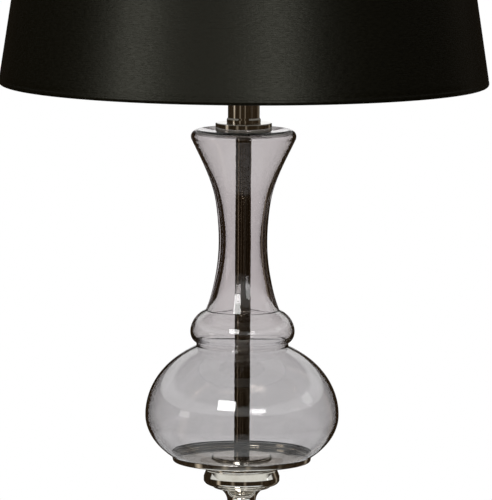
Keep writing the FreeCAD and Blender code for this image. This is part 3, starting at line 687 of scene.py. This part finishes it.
def room_colour(material, where):
    """What a mirror on the lamp sees around it: a brown room with cream strips and a white backdrop."""
    heading = heading_of(material, where)
    place = add(material, "CombineXYZ", {"X": heading}).outputs["Vector"]
    streaks = grain(material, place, math.radians(STREAK_WIDTH), detail=3.0)
    colour = two_colours(material, spread(material, streaks, 0, 1, *STREAK_FADE), DARK_BROWN, BROWN)
    for middle, half_width, strength in CREAM_STRIPS:
        apart = calculate(material, "SUBTRACT", heading, math.radians(middle))
        off = calculate(material, "ABSOLUTE", apart)
        share = spread(material, off, strength, 0, 0.0, math.radians(half_width))
        colour = two_colours(material, share, colour, CREAM)
    behind = fade(material, calculate(material, "ABSOLUTE", heading), BACKDROP_FADE)
    return two_colours(material, behind, colour, WHITE)


def by_ray(material, mirrored, lighting):
    """White where it is seen directly or through glass, and duller in mirrors and as a light."""
    path = add(material, "LightPath")
    after_mirror = calculate(material, "GREATER_THAN", path.outputs["Glossy Depth"], 0.5)
    after_cloth = calculate(material, "GREATER_THAN", path.outputs["Diffuse Depth"], 0.5)
    seen = two_colours(material, after_mirror, WHITE, mirrored)
    return two_colours(material, after_cloth, seen, lighting)


def beyond_pale_floor(material, where):
    """Share of the mirrored floor that is room, not pale table: all but the front, near the lamp.

    Seen through glass, or in a mirror's mirror, the pale part is wider and goes all the way round.
    """
    reach = add(material, "VectorMath", {0: where}, operation="LENGTH").outputs["Value"]
    to_side = calculate(material, "ABSOLUTE", heading_of(material, where))
    side = fade(material, to_side, PALE_SIDE_FADE)
    first = calculate(material, "MAXIMUM", side, spread(material, reach, 0, 1, *PALE_REACH))
    later = spread(material, reach, 0, 1, *WIDE_PALE_REACH)
    path = add(material, "LightPath")
    through = calculate(material, "GREATER_THAN", path.outputs["Transmission Depth"], 0.5)
    twice = calculate(material, "GREATER_THAN", path.outputs["Glossy Depth"], 1.5)
    share = calculate(material, "MAXIMUM", through, twice)
    return two_numbers(material, share, first, later)


def make_floor():
    """A pale floor that shines a little of its own light, so that it stays even up to the horizon."""
    material = bpy.data.materials.new("floor")
    material.use_nodes = True
    tree = material.node_tree
    tree.nodes.remove(tree.nodes["Principled BSDF"])
    where = straight(material)
    away = beyond_pale_floor(material, where)
    mirrored = two_colours(material, away, PALE, room_colour(material, where))
    shine = add(material, "Emission")
    feed(material, shine.inputs["Color"], by_ray(material, mirrored, FLOOR_LIGHT))
    feed(material, tree.nodes["Material Output"].inputs["Surface"], shine.outputs["Emission"])
    data = bpy.data.meshes.new("floor")
    corners = [(x * FLOOR_HALF, y * FLOOR_HALF, 0) for x, y in ((-1, -1), (1, -1), (1, 1), (-1, 1))]
    data.from_pydata(corners, [], [(0, 1, 2, 3)])
    data.materials.append(material)
    floor = bpy.data.objects.new("floor", data)
    bpy.context.scene.collection.objects.link(floor)


def make_world():
    """Even pale surroundings, which mirrors see as a room with a glow above its horizon."""
    world = bpy.data.worlds.new("world")
    world.use_nodes = True
    background = world.node_tree.nodes["Background"]
    where = add(world, "TexCoord").outputs["Generated"]
    height = add(world, "SeparateXYZ", {"Vector": where}).outputs["Z"]
    above = spread(world, height, 0, 1, *GLOW_FROM)
    below = spread(world, height, 1, 0, *GLOW_TO)
    share = calculate(world, "MULTIPLY", above, below)
    mirrored = two_colours(world, share, room_colour(world, where), GLOW)
    feed(world, background.inputs["Color"], by_ray(world, mirrored, WORLD_LIGHT))
    bpy.context.scene.world = world


def softbox(name, azimuth, elevation, across, tall, radiance, colour):
    """A soft light facing the lamp, its sizes in degrees. Azimuth 0 is the camera's side, 90 the right."""
    data = bpy.data.lights.new(name, "AREA")
    data.shape = "RECTANGLE"
    data.size, data.size_y = (2 * LIGHT_DISTANCE * math.tan(math.radians(a / 2)) for a in (across, tall))
    data.color = colour
    data.energy = radiance * math.pi * data.size * data.size_y
    light = bpy.data.objects.new(name, data)
    around, above = math.radians(azimuth), math.radians(elevation)
    level = Vector((math.sin(around), -math.cos(around), 0.0))
    out = level * math.cos(above) + Vector((0.0, 0.0, math.sin(above)))
    turn = out.to_track_quat("Z", "Y").to_matrix().to_4x4()
    place = Vector((0.0, 0.0, LIGHT_AIM)) + LIGHT_DISTANCE * out
    light.matrix_world = Matrix.Translation(place) @ turn
    light.visible_camera = False
    bpy.context.scene.collection.objects.link(light)
    return light


# Name, azimuth, elevation, width and height in degrees, radiance, colour.
HARD_LIGHTS = (
    ("key", -20, 27, 21, 17, 12.0, WHITE),
    ("second", 21, 18, 17, 8, 4.0, WHITE),
    ("right_panel", 94, 20, 14, 12, 1.0, WHITE),
    ("low_left", -72, 4, 14, 9, 1.2, WHITE),
)
CLOTH_LIGHTS = (
    ("left_band", -50, 13, 16, 25, 20.5, WARM),
    ("right_band", 14, 13, 12, 25, 22.5, WARM),
    ("front_fill", -4, 13, 62, 25, 3.9, WARM),
)


def make_lights(cloth):
    """Lights for glass and metal, which skip the cloth and the dish, and soft ones for the cloth alone."""
    groups = (
        (HARD_LIGHTS, "EXCLUDE", (cloth, frame["nodes"]["dish"])),
        (CLOTH_LIGHTS, "INCLUDE", (cloth,)),
    )
    for rows, state, pieces in groups:
        flagged = bpy.data.collections.new("lights_" + state.lower())
        for piece in pieces:
            flagged.objects.link(piece)
        for entry in flagged.collection_objects:
            entry.light_linking.link_state = state
        for row in rows:
            softbox(*row).light_linking.receiver_collection = flagged


def set_colours():
    """Plain colour handling, with no film curve."""
    bpy.context.scene.view_settings.view_transform = "Standard"


make_camera()
looks = finish_nodes()
cover = shade_cloth(looks["black_satin"])
make_floor()
make_world()
make_lights(cover)
set_colours()
